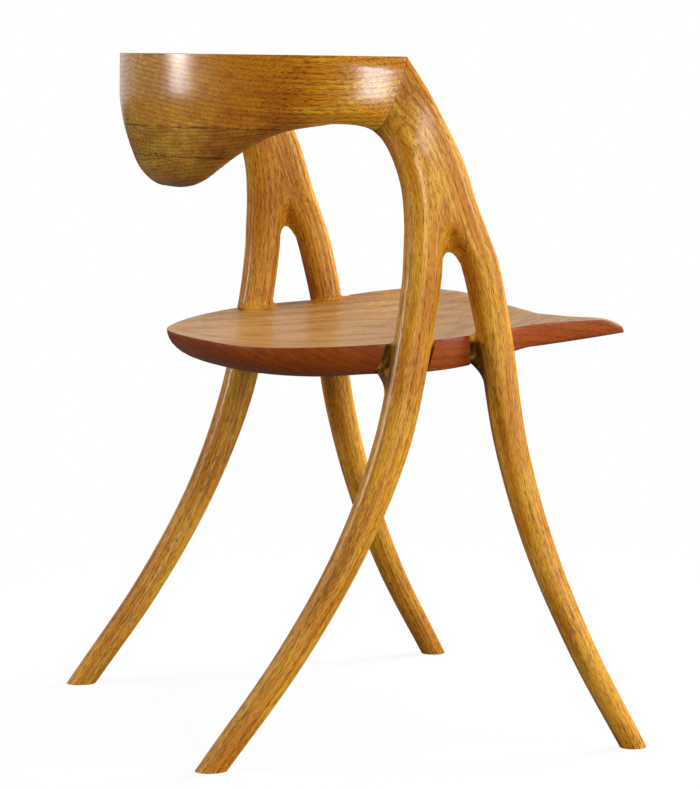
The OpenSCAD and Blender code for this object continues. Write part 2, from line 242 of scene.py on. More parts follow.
def crestLean(z):
    below = max(chair["height"] - crest["leanTop"] - z, 0) / (crest["lobeH"] - crest["leanTop"])
    return crest["lean"] * below**crest["leanPower"]


def crestSection(t):
    # radius and height, from the inner top edge down, round the bottom and up the outside
    settled = {size: ease(t / share) for size, share in crest["settled"].items()}
    half = mix(mitre["half"], crest["thick"] / 2, settled["half"])
    middle = mix(mitre["x"], crest["r"] - crest["thick"] / 2, settled["middle"])
    low = crestLow(mix(lowStart, pi / 2, t))
    across, down, rise = [mix(a, b, settled["corner"]) for a, b in zip(crest["topRound"], crest["arris"])]
    lowRound = mix(*crest["lowRound"], settled["lowRound"])
    top, steps = chair["height"], crest["steps"]
    first = asin(sqrt(1 - ((down - rise) / down) ** 2))
    corner = [(half - across + across * sin(q), top + rise - down + down * cos(q))
              for q in [mix(first, pi / 2, k / steps["corner"]) for k in range(steps["corner"] + 1)]]
    z1, z2 = corner[-1][1], low + lowRound
    side = [(half, mix(z1, z2, k / steps["side"])) for k in range(1, steps["side"])]
    turns = [pi * k / steps["bottom"] for k in range(steps["bottom"] + 1)]
    bottom = [(-half * cos(q), z2 - lowRound * sin(q)) for q in turns]
    outside = corner + side
    profile = [(-r, z) for r, z in outside] + bottom + outside[::-1]
    return [(middle + r - crestLean(z), z) for r, z in profile]


def crestRing(share, way=1):
    ring = []
    for r, z in crestSection(share):
        start = asin((mitreY(z) - crest["y"]) / r)
        a = mix(start, pi / 2, share)
        ring.append((way * r * cos(a), crest["y"] + r * sin(a), z))
    return ring


# Legs and posts

legs = {
    "arch": 24,  # how far under the crotch the gap between the two legs starts to close
    "webSoft": 0.4,  # share of the half width over which a ring's inner side comes up to the seam
    "square": (1.6, 1.7),  # how much wider and deeper the inner side grows there, before it is clipped
    "sides": 72,
    # the rings below the crotch start at lowest, get closer together at fineFrom, and end this short of it
    "lowest": -16, "fineFrom": 500, "steps": 64, "fineSteps": 20, "short": 1.5,
    "swell": {"rear": 1, "front": 1.07},  # how much rounder the outer side is where the post starts
    # height, depth of the flat on a leg's outer side
    "flat": [(-20, 0), (230, 0), (340, 0.3), (458, 0.9), (552, 1.5)],
    # height, distance from the middle, distance behind the middle, radius
    "rear": [(0, 240, 242, 14.3), (114.5, 244, 156.3, 15.6), (229, 247.5, 88.6, 17),
             (343.5, 249.5, 43.1, 19.7), (458, 249, 19, 20.7), (522, 249.2, 10.4, 21.2),
             (552, 249.3, 9, 21.4)],
    "front": [(0, 281, -242, 13.4), (114.5, 275.6, -178.1, 15), (229, 265, -128.8, 16.7),
              (343.5, 257.3, -95.1, 18), (458, 251.5, -76.5, 19.2), (522, 251.7, -61.8, 20),
              (552, 251.8, -53, 20.2)],
}
post = {
    # share along the post, and how much of the way back and up its lines have gone there
    "seam": [(0, 0, 0), (0.3, 0.104, 0.3), (0.55, 0.342, 0.55), (0.8, 0.654, 0.8), (1, 1, 1)],
    "front": [(0, 0, 0), (0.12, 0.104, 0.12), (0.25, 0.212, 0.24), (0.5, 0.4, 0.49), (0.75, 0.69, 0.75),
              (1, 1, 1)],
    "rear": [(0, 0, 0), (0.25, -0.025, 0.26), (0.5, 0.089, 0.54), (0.75, 0.44, 0.79), (0.9, 0.71, 0.93),
             (1, 1, 1)],
    "startY": {"seam": -20, "front": -73.5, "rear": 30.5},
    "endRound": {"front": 24, "rear": 22},
    "endCrisp": {"front": 3.6, "rear": 2.3},
    "x": [(0.3, 248), (0.55, 244.5), (0.8, 238), (1, 225)],
    "flat": 0.6,
    "settled": {"half": 0.3, "flat": 0.4, "web": 0.3},  # share along the post where each has changed over
    "blend": 0.62,  # from here on the section turns into that of the crest
    "fineTo": 0.15, "fineSteps": 14, "steps": 34,
    "past": 5,  # how far it runs on past the mitre, to be cut later
}
circle = 2  # exponent that makes a ring round; a higher one makes it squarer


def postRows(line):
    ends = {"seam": (mitreY(mitre["kinkZ"]), mitre["kinkZ"]), "front": (mitre["topY"], chair["height"]),
            "rear": mitre["low"]}
    y0, y1 = post["startY"][line], ends[line][0]
    z0, z1 = chair["crotchH"], ends[line][1]
    return [(share, mix(y0, y1, back), mix(z0, z1, rise)) for share, back, rise in post[line]]


seamRows = postRows("seam")


def postX(line, share):
    return curveAt([(0, legs[line][-1][1])] + post["x"], share)[1]


def legRing(half, reach, seam, web, crisp, flat):
    # half is the reach across, reach the reach outwards, seam the distance to the seam, web how much of
    # the inner side lies on the seam, crisp how square the outer end is, flat the depth of the side's flat
    ring = []
    for i in range(legs["sides"]):
        angle = 2 * pi * i / legs["sides"]
        c, s = cos(angle), sin(angle)
        if s >= 0:
            x = half * power(c, circle / crisp)
            u = reach * power(s, circle / crisp)
        else:
            joinedShare = 1 - sqrt(1 - clamp(1 + (web - abs(c)) / legs["webSoft"]) ** 2)
            squared, (wider, deeper) = ease(web), legs["square"]
            x = half * mix(c, clamp(wider * c, -1, 1), squared)
            deep = mix(1, clamp(deeper * abs(s)), squared)
            u = mix(reach * s, -seam * deep, joinedShare)
        ring.append((clamp(x, flat - half, half - flat), u))
    return ring


def placed(ring, origin, out):
    # origin is the ring's middle, out its direction away from the other leg
    return [(origin[0] + x, origin[1] + u * out[0], origin[2] + u * out[1]) for x, u in ring]


def lowRing(path, way, z):
    p = curveAt(path, z)
    ahead, behind = curveAt(path, z + 1), curveAt(path, z - 1)
    dx, dy = (ahead[1] - behind[1]) / 2, (ahead[2] - behind[2]) / 2
    web = legs["webSoft"] * (z - chair["crotchH"]) / legs["arch"]
    ring = legRing(p[3] * sqrt(1 + dx * dx), p[3] * sqrt(1 + dy * dy), abs(p[2] - seamRows[0][1]),
                   web, circle, curveAt(legs["flat"], z)[1])
    return placed(ring, (p[1], p[2], z), (way, 0))


def stretched(ring, outline):
    # each point moves along its ray from the ring's middle until it meets the outline
    tiny, slack = 1e-9, 1e-6
    moved = []
    for x, u in ring:
        for (ax, au), (bx, bu) in zip(outline, outline[1:] + outline[:1]):
            crossing = x * (bu - au) - u * (bx - ax)
            if abs(crossing) < tiny:
                continue
            far = (ax * (bu - au) - au * (bx - ax)) / crossing
            side = (ax * u - au * x) / crossing
            if far > 0 and -slack <= side <= 1 + slack:
                moved.append((x * far, u * far))
                break
        else:
            moved.append((x, u))
    return moved


def postFrame(line, share, lowRound):
    # middle of the ring, direction of its outer end, reach outwards and distance to the seam
    m, e = Vector(curveAt(seamRows, share)[1:]), Vector(curveAt(postRows(line), share)[1:])
    reach = mix(lowRound, post["endRound"][line], share)
    out = (e - m).normalized()
    return e - out * reach, out, reach, (e - m).length - reach


def endOutline(line, reach, deep):
    # the crest's own outline on the mitre, as far as it belongs to this leg
    middle, out, endReach, endDeep = postFrame(line, 1, reach)
    outline = []
    for x, y, z in crestRing(0):
        u = (Vector((y, z)) - middle).dot(out)
        outline.append((x - mitre["x"], u * reach / endReach if u > 0 else max(u / endDeep, -1) * deep))
    return outline


def postRing(line, share, lowRound):
    middle, out, reach, deep = postFrame(line, share, lowRound)
    settled = {size: share / end for size, end in post["settled"].items()}
    half = mix(legs[line][-1][3], mitre["half"], ease(settled["half"]))
    flat = mix(legs["flat"][-1][1], post["flat"], ease(settled["flat"]))
    ring = legRing(half, reach, deep, settled["web"], mix(circle, post["endCrisp"][line], share), flat)
    end = stretched(ring, endOutline(line, reach, deep)) if share > post["blend"] else ring
    near = ease((share - post["blend"]) / (1 - post["blend"]))
    ring = [(mix(a[0], b[0], near), mix(a[1], b[1], near)) for a, b in zip(ring, end)]
    return placed(ring, (postX(line, share), *middle), out)


def leftLeg(line):
    path, way = legs[line], 1 if line == "rear" else -1
    lowRound = path[-1][3] * legs["swell"][line]
    top, steps, fine = chair["crotchH"] - legs["short"], legs["steps"], legs["fineSteps"]
    heights = [mix(legs["lowest"], legs["fineFrom"], i / steps) for i in range(steps + 1)]
    heights += [mix(legs["fineFrom"], top, i / fine) for i in range(1, fine + 1)]
    rings = [lowRing(path, way, z) for z in heights]
    steps, fine = post["steps"], post["fineSteps"]
    rings += [postRing(line, post["fineTo"] * i / fine, lowRound) for i in range(fine)]
    rings += [postRing(line, mix(post["fineTo"], 1, i / steps), lowRound) for i in range(steps + 1)]
    past = Vector((0, mitre["drop"], mitre["run"])).normalized() * post["past"]
    rings.append([Vector(p) + past for p in rings[-1]])
    return sweepRings(line + "LegBlank", rings)


# Seat

seat = {
    "half": 248, "back": 210, "thick": 48, "dish": 22, "waistY": -10, "dishY": 30,
    "wingX": 250, "wingY": 234, "boardW": 104,
    "notchFloor": 218, "notchHalf": 26.5, "jointGap": 0.25,
    "notchX": 340, "notchZ": (360, 560),  # reach of the block that cuts a notch
    "rollFrom": 0.9,  # share of the way out where the front edge starts to roll over
    "eye": 0.02,  # share of the way out where the rings end, round the lowest point
    "dishPower": 2.4, "rimSteps": (46, 40, 22), "topSteps": 25, "rollSteps": 8, "edgeSteps": 10,
    # shares of the way in along the underside
    "under": [0.95, 0.9, 0.82, 0.74, 0.66, 0.58, 0.5, 0.4, 0.3, 0.2, 0.1, 0.02],
    "underPower": (2.2, 1.5), "thinFrom": 70, "thinOver": 110,  # the wings are thin
    "bevel": 0.9,
    "shoulderX": 188, "shoulderY": (-150, 100),  # the part of the seat that the legs grow into
    "recess": (7.0, 1.0, 14.0),  # how far a leg's shoulder steps back, between which depths under the rim
    # distance behind the middle, half width, rim height, lower edge height, inset of the lower edge
    "side": [(-234, 250, 4, 3.5, 1), (-215.3, 245.5, 16, 0, 5), (-187.2, 241.5, 17, -3.5, 7),
             (-131, 235.5, 13.5, -12.5, 8), (-63.2, 241, 5, -29, 9), (-10, 248, 0.5, -35, 10),
             (60, 248, -5, -39.5, 24), (110, 248, -9.5, -45, 36), (170, 248, -14, -48, 50),
             (200, 248, -12, -48, 58)],
    # share from the middle of the front edge to its corner, distance ahead of it, and heights as above
    "front": [(0, 24, -6, -16, 12), (0.5, 18.7, -1, -12, 11), (0.8, 9.6, 8, -3, 7), (1, 0, 4, 3.5, 1)],
    # distance from the middle, height that the top would have if the front edge weren't rounded over
    "ridge": [(0, 10), (100, 15.5), (160, 19.5), (220, 22.5), (260, 23.5)],
}


def seatRim(backSteps, sideSteps, frontSteps):
    rim = []
    for i in range(backSteps):
        a = pi / 2 * (1 - i / backSteps)
        y = seat["waistY"] + seat["back"] * sin(a)
        rim.append([seat["half"] * cos(a), y, *curveAt(seat["side"], y)[2:], 0])
    for i in range(sideSteps):
        row = curveAt(seat["side"], mix(seat["waistY"], -seat["wingY"], i / sideSteps))
        rim.append([row[1], row[0], *row[2:], 0])
    for i in range(frontSteps + 1):
        t = 1 - i / frontSteps
        row = curveAt(seat["front"], t)
        rim.append([seat["wingX"] * t, -seat["wingY"] - row[1], *row[2:], 1])
    return rim + [[-p[0], *p[1:]] for p in rim[-2:0:-1]]


def ridgeHeight(p):
    front = 1 if p[5] else ease((-p[1] - 0.75 * seat["wingY"]) / (0.25 * seat["wingY"]))
    return mix(p[2], curveAt(seat["ridge"], abs(p[0]))[1], front)


def toward(p, share):
    return mix(0, p[0], share), mix(seat["dishY"], p[1], share)


def inward(p, distance):
    way = Vector((-p[0], seat["dishY"] - p[1])).normalized() * distance
    return p[0] + way[0], p[1] + way[1]


def makeSeat():
    # rings from the middle of the top out to the rim, round it, and back in along the underside
    rim = seatRim(*seat["rimSteps"])
    h, dish, thick = chair["seatH"], seat["dish"], seat["thick"]
    rollFrom, steps = seat["rollFrom"], seat["topSteps"]

    def dished(p, t):
        return h - dish + (ridgeHeight(p) + dish) * t ** seat["dishPower"]

    rings = [[(*toward(p, t), dished(p, t)) for p in rim]
             for t in [seat["eye"]] + [rollFrom * i / steps for i in range(2, steps + 1)]]
    for i in range(1, seat["rollSteps"] + 1):
        q = pi / 2 * i / seat["rollSteps"]
        t = mix(rollFrom, 1, sin(q))
        rings.append([(*toward(p, t), dished(p, t) - (ridgeHeight(p) - p[2]) * (1 - cos(q))) for p in rim])
    for i in range(1, seat["edgeSteps"] + 1):
        q = pi / 2 * i / seat["edgeSteps"]
        rings.append([(*inward(p, p[4] * (1 - cos(q))), h + mix(p[2], p[3], sin(q))) for p in rim])
    hollows = [mix(*seat["underPower"], ease((-p[1] - seat["thinFrom"]) / seat["thinOver"])) for p in rim]
    for t in seat["under"]:
        rings.append([(*toward(inward(p, p[4]), t), h + mix(-thick, p[3], t**hollow))
                      for p, hollow in zip(rim, hollows)])
    return sweepRings("seatBlank", rings)


jointZ = chair["seatH"] - seat["thick"] / 2


def legFrame(line):
    # where a leg's middle line crosses the seat, and how far it leans there
    path, reach = legs[line], seat["thick"] / 2
    slope = (curveAt(path, jointZ + reach)[2] - curveAt(path, jointZ - reach)[2]) / seat["thick"]
    return (seat["notchFloor"], curveAt(path, jointZ)[2], jointZ), -atan(slope)


collarSize = {"rings": 16, "above": 5, "depth": 24, "half": 26.2, "middle": 230, "outside": 5,
              "crisp": 2.5, "inset": 0.6}


def collar(line):
    # a leg's swelling under the seat, as wide as the notch at the top and gone a little lower
    under = chair["seatH"] + curveAt(seat["side"], legFrame(line)[0][1])[3]
    rings = []
    for i in range(collarSize["rings"]):
        below = mix(-collarSize["above"], collarSize["depth"], i / (collarSize["rings"] - 1))
        wide = (1 - clamp(below / collarSize["depth"])) ** 2
        p = curveAt(legs[line], under - below)
        thin = p[3] - collarSize["inset"]
        half, middle = mix(thin, collarSize["half"], wide), mix(p[1], collarSize["middle"], wide)
        inside = middle - mix(p[1] - thin, seat["notchFloor"] + seat["jointGap"], wide)
        outside = mix(thin, collarSize["outside"], wide)
        ring = []
        for k in range(legs["sides"]):
            angle, exponent = 2 * pi * k / legs["sides"], circle / collarSize["crisp"]
            c, s = power(cos(angle), exponent), power(sin(angle), exponent)
            ring.append((middle + s * (outside if s > 0 else inside), p[2] + half * c, under - below))
        rings.append(ring)
    return sweepRings(line + "Collar", rings)


def notchBlock(line, gap):
    # what cuts the notch, leaning as the leg does; with a gap it is that much smaller
    turn = legFrame(line)
    y, half, (low, high) = turn[0][1], seat["notchHalf"] - gap, seat["notchZ"]
    return block((seat["notchFloor"] + gap, y - half, low), (seat["notchX"], y + half, high), turn)


print("seat")
seatBlank = makeSeat()

print("legs")
rearBlank = leftLeg("rear")
frontBlank = leftLeg("front")
shoulderBlank = twin(seatBlank, "shoulderBlank")
front, back = seat["shoulderY"]
cutAway(shoulderBlank, (seat["shoulderX"], 0, 0), (-1, 0, 0))
cutAway(shoulderBlank, (0, front, 0), (0, -1, 0))
cutAway(shoulderBlank, (0, back, 0), (0, 1, 0))
stepBack, shallow, deep = seat["recess"]
for vertex in shoulderBlank.data.vertices:
    vertex.co.x -= stepBack * mm * ease((chair["seatH"] - shallow - vertex.co.z / mm) / (deep - shallow))
for line in ("rear", "front"):
    carve(shoulderBlank, collar(line), "UNION")

sculpt = {
    "voxel": 2.0,
    "overall": 4, "cove": 50, "crotch": 14, "last": 2,  # rounds of smoothing
    # how near both forms have to be: 1 up to (full - 1) times the reach, 0 from full times the reach on
    "coveReach": 10, "coveFull": 1.35, "crotchReach": 6, "crotchFull": 1.3,
    "crotchZ": (500, 600, 30),  # where it starts, starts to fade, and over what height
    "crotchX": (11, 6),  # how far to either side it goes, and over what width it fades
    # the seat's own zone, which the legs' skin leaves to it outside the notches
    "seatLow": (150, -170, 392), "seatHigh": (320, 130, 492),
}
blanks = [rearBlank, frontBlank, shoulderBlank]


def fillHollows(piece, zone, rounds):
    # smooths a zone, and takes back what would wear down an edge
    before = [(vertex.co.copy(), vertex.normal.copy()) for vertex in piece.data.vertices]
    finishWith(piece, "SMOOTH", factor=0.5, iterations=rounds, vertex_group=zone)
    for vertex, (place, normal) in zip(piece.data.vertices, before):
        if (vertex.co - place).dot(normal) < 0:
            vertex.co = place


def fused(name):
    # one skin over both legs and the seat's edge, softened where two of them meet
    body = joined(name, *blanks)
    target = joined("exactSkin", *blanks)
    body.data.remesh_voxel_size = sculpt["voxel"] * mm
    pick(body)
    bpy.ops.object.voxel_remesh()
    finishWith(body, "SMOOTH", factor=0.5, iterations=sculpt["overall"])
    finishWith(body, "SHRINKWRAP", target=target, wrap_method="NEAREST_SURFACEPOINT")
    drop(target)
    graph = bpy.context.evaluated_depsgraph_get()
    trees = [BVHTree.FromObject(blank, graph) for blank in blanks]
    cove, crotch = body.vertex_groups.new(name="cove"), body.vertex_groups.new(name="crotch")
    for vertex in body.data.vertices:
        gaps = [tree.find_nearest(vertex.co)[3] / mm for tree in trees]
        z = vertex.co.z / mm
        toSeat = max(gaps[2], min(gaps[0], gaps[1]))
        toLeg = max(gaps[0], gaps[1])
        cove.add([vertex.index], ease(sculpt["coveFull"] - toSeat / sculpt["coveReach"]), "REPLACE")
        start, top, fadeOver = sculpt["crotchZ"]
        if z > start:
            half, softness = sculpt["crotchX"]
            inside = 1 - ease((abs(vertex.co.x / mm - legs["rear"][-1][1]) - half) / softness)
            near = ease(sculpt["crotchFull"] - toLeg / sculpt["crotchReach"])
            crotch.add([vertex.index], near * (1 - ease((z - top) / fadeOver)) * inside, "REPLACE")
    fillHollows(body, "cove", sculpt["cove"])
    finishWith(body, "SMOOTH", factor=0.5, iterations=sculpt["crotch"], vertex_group="crotch")
    finishWith(body, "SMOOTH", factor=0.5, iterations=sculpt["last"])
    return body


seamSize = {
    "steps": 24, "x": (150, 340), "front": -420, "rear": 87, "low": -40, "high": 820,
    "past": (40, 30),  # how far back and up the seam runs on past the crest
}


def seamCutter():
    # a prism whose rear wall is the seam between the two legs
    seam = [curveAt(seamRows, i / seamSize["steps"])[1:] for i in range(seamSize["steps"] + 1)]
    seam.append([mitreY(mitre["kinkZ"]) + seamSize["past"][0], mitre["kinkZ"] + seamSize["past"][1]])
    front, rear, low, high = [seamSize[side] for side in ("front", "rear", "low", "high")]
    line = [(seamRows[0][1], low)] + seam + [(rear, high), (front, high), (front, low)]
    return sweepRings("seamCutter", [[(x, y, z) for y, z in line] for x in seamSize["x"]])


legsLeft = fused("legsLeft")
cutAway(legsLeft, (0, 0, 0), (0, 0, -1))
cutAway(legsLeft, (0, mitreY(chair["height"]), chair["height"]), (0, mitre["drop"], mitre["run"]))
cutAway(legsLeft, (0, 0, chair["height"]), (0, 0, 1))
trimmer = block(sculpt["seatLow"], sculpt["seatHigh"])
for line in ("rear", "front"):
    carve(trimmer, notchBlock(line, seat["jointGap"]))
carve(legsLeft, trimmer)
frontLegLeft = twin(legsLeft, "frontLegLeft")
rearLegLeft = legsLeft
rearLegLeft.name = "rearLegLeft"
carve(frontLegLeft, seamCutter(), "INTERSECT")
carve(rearLegLeft, seamCutter())
drop(rearBlank, frontBlank, shoulderBlank)

print("seat boards")
finishWith(seatBlank, "BEVEL", width=seat["bevel"] * mm, segments=2, limit_method="ANGLE",
           angle_limit=crease)
seams = [share * seat["boardW"] for share in (-1.5, -0.5, 0.5, 1.5)]
boardNames = ["FarRight", "Right", "Middle", "Left", "FarLeft"]
boardNodes = ["far_right", "right", "middle", "left", "far_left"]
boards = []
for i, boardName in enumerate(boardNames):
    board = twin(seatBlank, "seatBoard" + boardName)
    if i > 0:
        cutAway(board, (seams[i - 1], 0, 0), (-1, 0, 0))
    if i < len(seams):
        cutAway(board, (seams[i], 0, 0), (1, 0, 0))
    boards.append(board)
for line in ("rear", "front"):
    carve(boards[-1], notchBlock(line, 0))
drop(seatBlank, boards[0])
boards[0] = mirrored(boards[-1], "seatBoardFarRight")

print("crest")
glueZ = [mitre["low"][1], mitre["low"][1] - crest["layer"]]
stations, lobeStations = crest["stations"], crest["lobeStations"]
crestArmLeft = sweepRings("crestArmLeft", [crestRing(i / stations) for i in range(stations + 1)])
cutAway(crestArmLeft, (0, 0, glueZ[0]), (0, 0, -1))
lobeShares = [mix(crest["lobeStart"], 1, i / lobeStations) for i in range(lobeStations + 1)]
crestMiddle = sweepRings("crestMiddleLayer", [crestRing(t) for t in lobeShares]
                         + [crestRing(t, -1) for t in lobeShares[-2::-1]])
crestLower = twin(crestMiddle, "crestLowerLayer")
cutAway(crestMiddle, (0, 0, glueZ[0]), (0, 0, 1))
cutAway(crestMiddle, (0, 0, glueZ[1]), (0, 0, -1))
cutAway(crestLower, (0, 0, glueZ[1]), (0, 0, 1))

print("right side")
frontLegRight = mirrored(frontLegLeft, "frontLegRight")
rearLegRight = mirrored(rearLegLeft, "rearLegRight")
crestArmRight = mirrored(crestArmLeft, "crestArmRight")


# Grain, kept on each point as its place along and across the fibres

def giveGrain(piece, place):
    marks = piece.data.attributes.new("grain", "FLOAT_VECTOR", "POINT")
    for vertex, mark in zip(piece.data.vertices, marks.data):
        mark.vector = place(vertex.co)


marking = {
    "edgeTilt": (0.25, 0.35),  # upward share of the normal where the edge ends, and over what change
    # the rest: where the hollow starts, and over how many millimetres it fades in
    "legZ": (300, 540), "besideShare": 0.86, "besideFade": 5, "outward": (222, 8),
    "under": (1, 5), "above": (36, 16),
    "frontStrength": 0.3,  # the painted shade ahead of a leg is weaker than the one behind it
}


def markPaintedEdgeShade(piece):
    # 1 on the outer edge of a board, where shade is painted, 0 on its top
    marks = piece.data.attributes.new("edge", "FLOAT", "POINT")
    flat, change = marking["edgeTilt"]
    for vertex, mark in zip(piece.data.vertices, marks.data):
        mark.value = 1 - ease((vertex.normal.z - flat) / change)


def markPaintedCoveShade(piece, line):
    # 1 where shade is painted in the hollow between a leg and the seat's edge, 0 elsewhere
    marks = piece.data.attributes.new("hollow", "FLOAT", "POINT")
    outFrom, outFade = marking["outward"]
    under, underFade = marking["under"]
    above, aboveFade = marking["above"]
    for vertex, mark in zip(piece.data.vertices, marks.data):
        x, y, z = abs(vertex.co.x) / mm, vertex.co.y / mm, vertex.co.z / mm
        p = curveAt(legs[line], clamp(z, *marking["legZ"]))
        beside = ease((abs(y - p[2]) - p[3] * marking["besideShare"]) / marking["besideFade"])
        beside *= ease((x - outFrom) / outFade) * (1 if y > p[2] else marking["frontStrength"])
        below = ease((chair["seatH"] - under - z) / underFade)
        mark.value = beside * below * ease((z - jointZ + above) / aboveFade)


grainTable = {"from": -10, "to": 790, "step": 4}  # heights at which the length of a leg's fibres is kept


def legGrain(line, offset):
    # the fibres follow the leg's outer edge
    way = 1 if line == "rear" else -1
    edge, front = postRows(line), postRows("front")
    rows, length = [], 0.0
    for z in range(grainTable["from"], grainTable["to"], grainTable["step"]):
        if z < chair["crotchH"]:
            p = curveAt(legs[line], z)
            x, y = p[1], p[2] + way * p[3]
        elif z <= edge[-1][2]:
            share = (z - chair["crotchH"]) / (edge[-1][2] - chair["crotchH"])
            x, y = postX(line, share), curveAt(edge, share)[1]
        else:
            share = (min(z, front[-1][2]) - chair["crotchH"]) / (front[-1][2] - chair["crotchH"])
            y = rows[-1][2] + curveAt(front, share)[1] - curveAt(front, share - 0.02)[1]
        if rows:
            length += hypot(x - rows[-1][1], y - rows[-1][2], grainTable["step"])
        rows.append((z, x, y, length))

    def place(co):
        x, y, z = abs(co.x) / mm, co.y / mm, co.z / mm
        i = clamp((z - grainTable["from"]) / grainTable["step"], 0, len(rows) - 1.001)
        a, b, t = rows[int(i)], rows[int(i) + 1], i - int(i)
        return Vector((mix(a[3], b[3], t), x - mix(a[1], b[1], t), y - mix(a[2], b[2], t))) * mm + offset
    return place


def boardGrain(direction, offset, tilt=0.0):
    # straight fibres; the offset keeps two boards from showing the same figure
    along = Vector((*direction, tilt)).normalized()
    across = Vector((-direction[1], direction[0], 0)).normalized()
    up = along.cross(across)

    def place(co):
        return Vector((co.dot(along), co.dot(across), co.dot(up))) + offset
    return place


print("grain")
for k, (piece, line) in enumerate([(rearLegRight, "rear"), (rearLegLeft, "rear"),
                                   (frontLegRight, "front"), (frontLegLeft, "front")]):
    giveGrain(piece, legGrain(line, Vector((0.9 * k, 0.021 * k, 0.05 + 0.017 * k))))
    markPaintedCoveShade(piece, line)
for k, board in enumerate(boards):
    giveGrain(board, boardGrain((0, 1), Vector((0.7 * k, 0.03 - 0.021 * k, 0.11 * k)), 0.06 - 0.03 * k))
    markPaintedEdgeShade(board)
giveGrain(crestArmRight, boardGrain((0.5, 1), Vector((0.3, 0.1, 0.6))))
giveGrain(crestArmLeft, boardGrain((-0.5, 1), Vector((2.1, 0.06, 0.8))))
giveGrain(crestMiddle, boardGrain((1, 0), Vector((3.3, 0.02, 0.5)), 0.05))
giveGrain(crestLower, boardGrain((1, 0), Vector((4.7, 0.01, 0.7)), -0.04))


# Materials

class Wire:
    # a socket, so that shader sums read as plain Python
    def __init__(self, finish, socket):
        self.finish = finish
        self.socket = socket

    def math(self, operation, a, b=0.0):
        return self.finish.node("ShaderNodeMath", {"operation": operation}, {0: a, 1: b})

    def fraction(self):
        return self.math("FRACT", self)

    def __add__(self, other):
        return self.math("ADD", self, other)

    def __radd__(self, other):
        return self.math("ADD", other, self)

    def __sub__(self, other):
        return self.math("SUBTRACT", self, other)

    def __rsub__(self, other):
        return self.math("SUBTRACT", other, self)

    def __mul__(self, other):
        return self.math("MULTIPLY", self, other)

    def __rmul__(self, other):
        return self.math("MULTIPLY", other, self)

    def __truediv__(self, other):
        return self.math("DIVIDE", self, other)

    def __pow__(self, other):
        return self.math("POWER", self, other)

    def __abs__(self):
        return self.math("ABSOLUTE", self)


class Finish:
    # one material and its nodes
    def __init__(self, name):
        self.material = bpy.data.materials.new(name)
        self.material.use_nodes = True
        self.tree = self.material.node_tree
        self.shader = self.tree.nodes["Principled BSDF"]

    def feed(self, socket, value):
        if isinstance(value, Wire):
            self.tree.links.new(value.socket, socket)
        else:
            socket.default_value = value

    def node(self, kind, settings, inputs, output=0):
        made = self.tree.nodes.new(kind)
        for name, value in settings.items():
            setattr(made, name, value)
        for name, value in inputs.items():
            self.feed(made.inputs[name], value)
        return Wire(self, made.outputs[output])

    def noise(self, vector, detail=2.0, rough=0.5):
        return self.node("ShaderNodeTexNoise", {}, {"Vector": vector, "Scale": 1.0, "Detail": detail,
                                                    "Roughness": rough})

    def scaled(self, vector, along, across):
        size = (along, across, across)
        return self.node("ShaderNodeVectorMath", {"operation": "MULTIPLY"}, {0: vector, 1: size})

    def part(self, vector, index):
        return self.node("ShaderNodeSeparateXYZ", {}, {0: vector}, index)

    def blend(self, factor, a, b, kind="MIX"):
        settings = {"data_type": "RGBA", "blend_type": kind}
        return self.node("ShaderNodeMix", settings, {0: factor, 6: a, 7: b}, 2)

    def step(self, value, low, high):
        # smooth rise from 0 at low to 1 at high
        return self.node("ShaderNodeMapRange", {"interpolation_type": "SMOOTHSTEP"},
                         {"Value": value, "From Min": low, "From Max": high})


def colour(red, green, blue):
    # a colour as a screen shows it, in the shader's linear light
    def linear(c):
        return ((c / 255 + 0.055) / 1.055) ** 2.4 if c > 10 else c / 255 / 12.92
    return linear(red), linear(green), linear(blue), 1


figure = {
    # how often each pattern repeats in a metre, along and across the fibres
    "sway": (4, 14), "uneven": (1.5, 40), "cloud": (9, 9), "band": (6, 120),
    "streak": (20, 640), "fibre": (130, 1250), "pore": (80, 1400), "dashes": (110, 20),
    # where a pattern starts to colour the wood, where it does so fully, and how strongly
    "bandTone": (0.4, 0.6), "streakTone": (0.46, 0.7, 0.4), "fibreTone": (0.48, 0.68, 0.7),
    "early": (0.2, 0.5), "poreSoft": 0.1,
    "relief": (0.3, 0.4 * mm),  # strength and depth of the bump
    "specular": 0.22, "coatRough": 0.22,
}


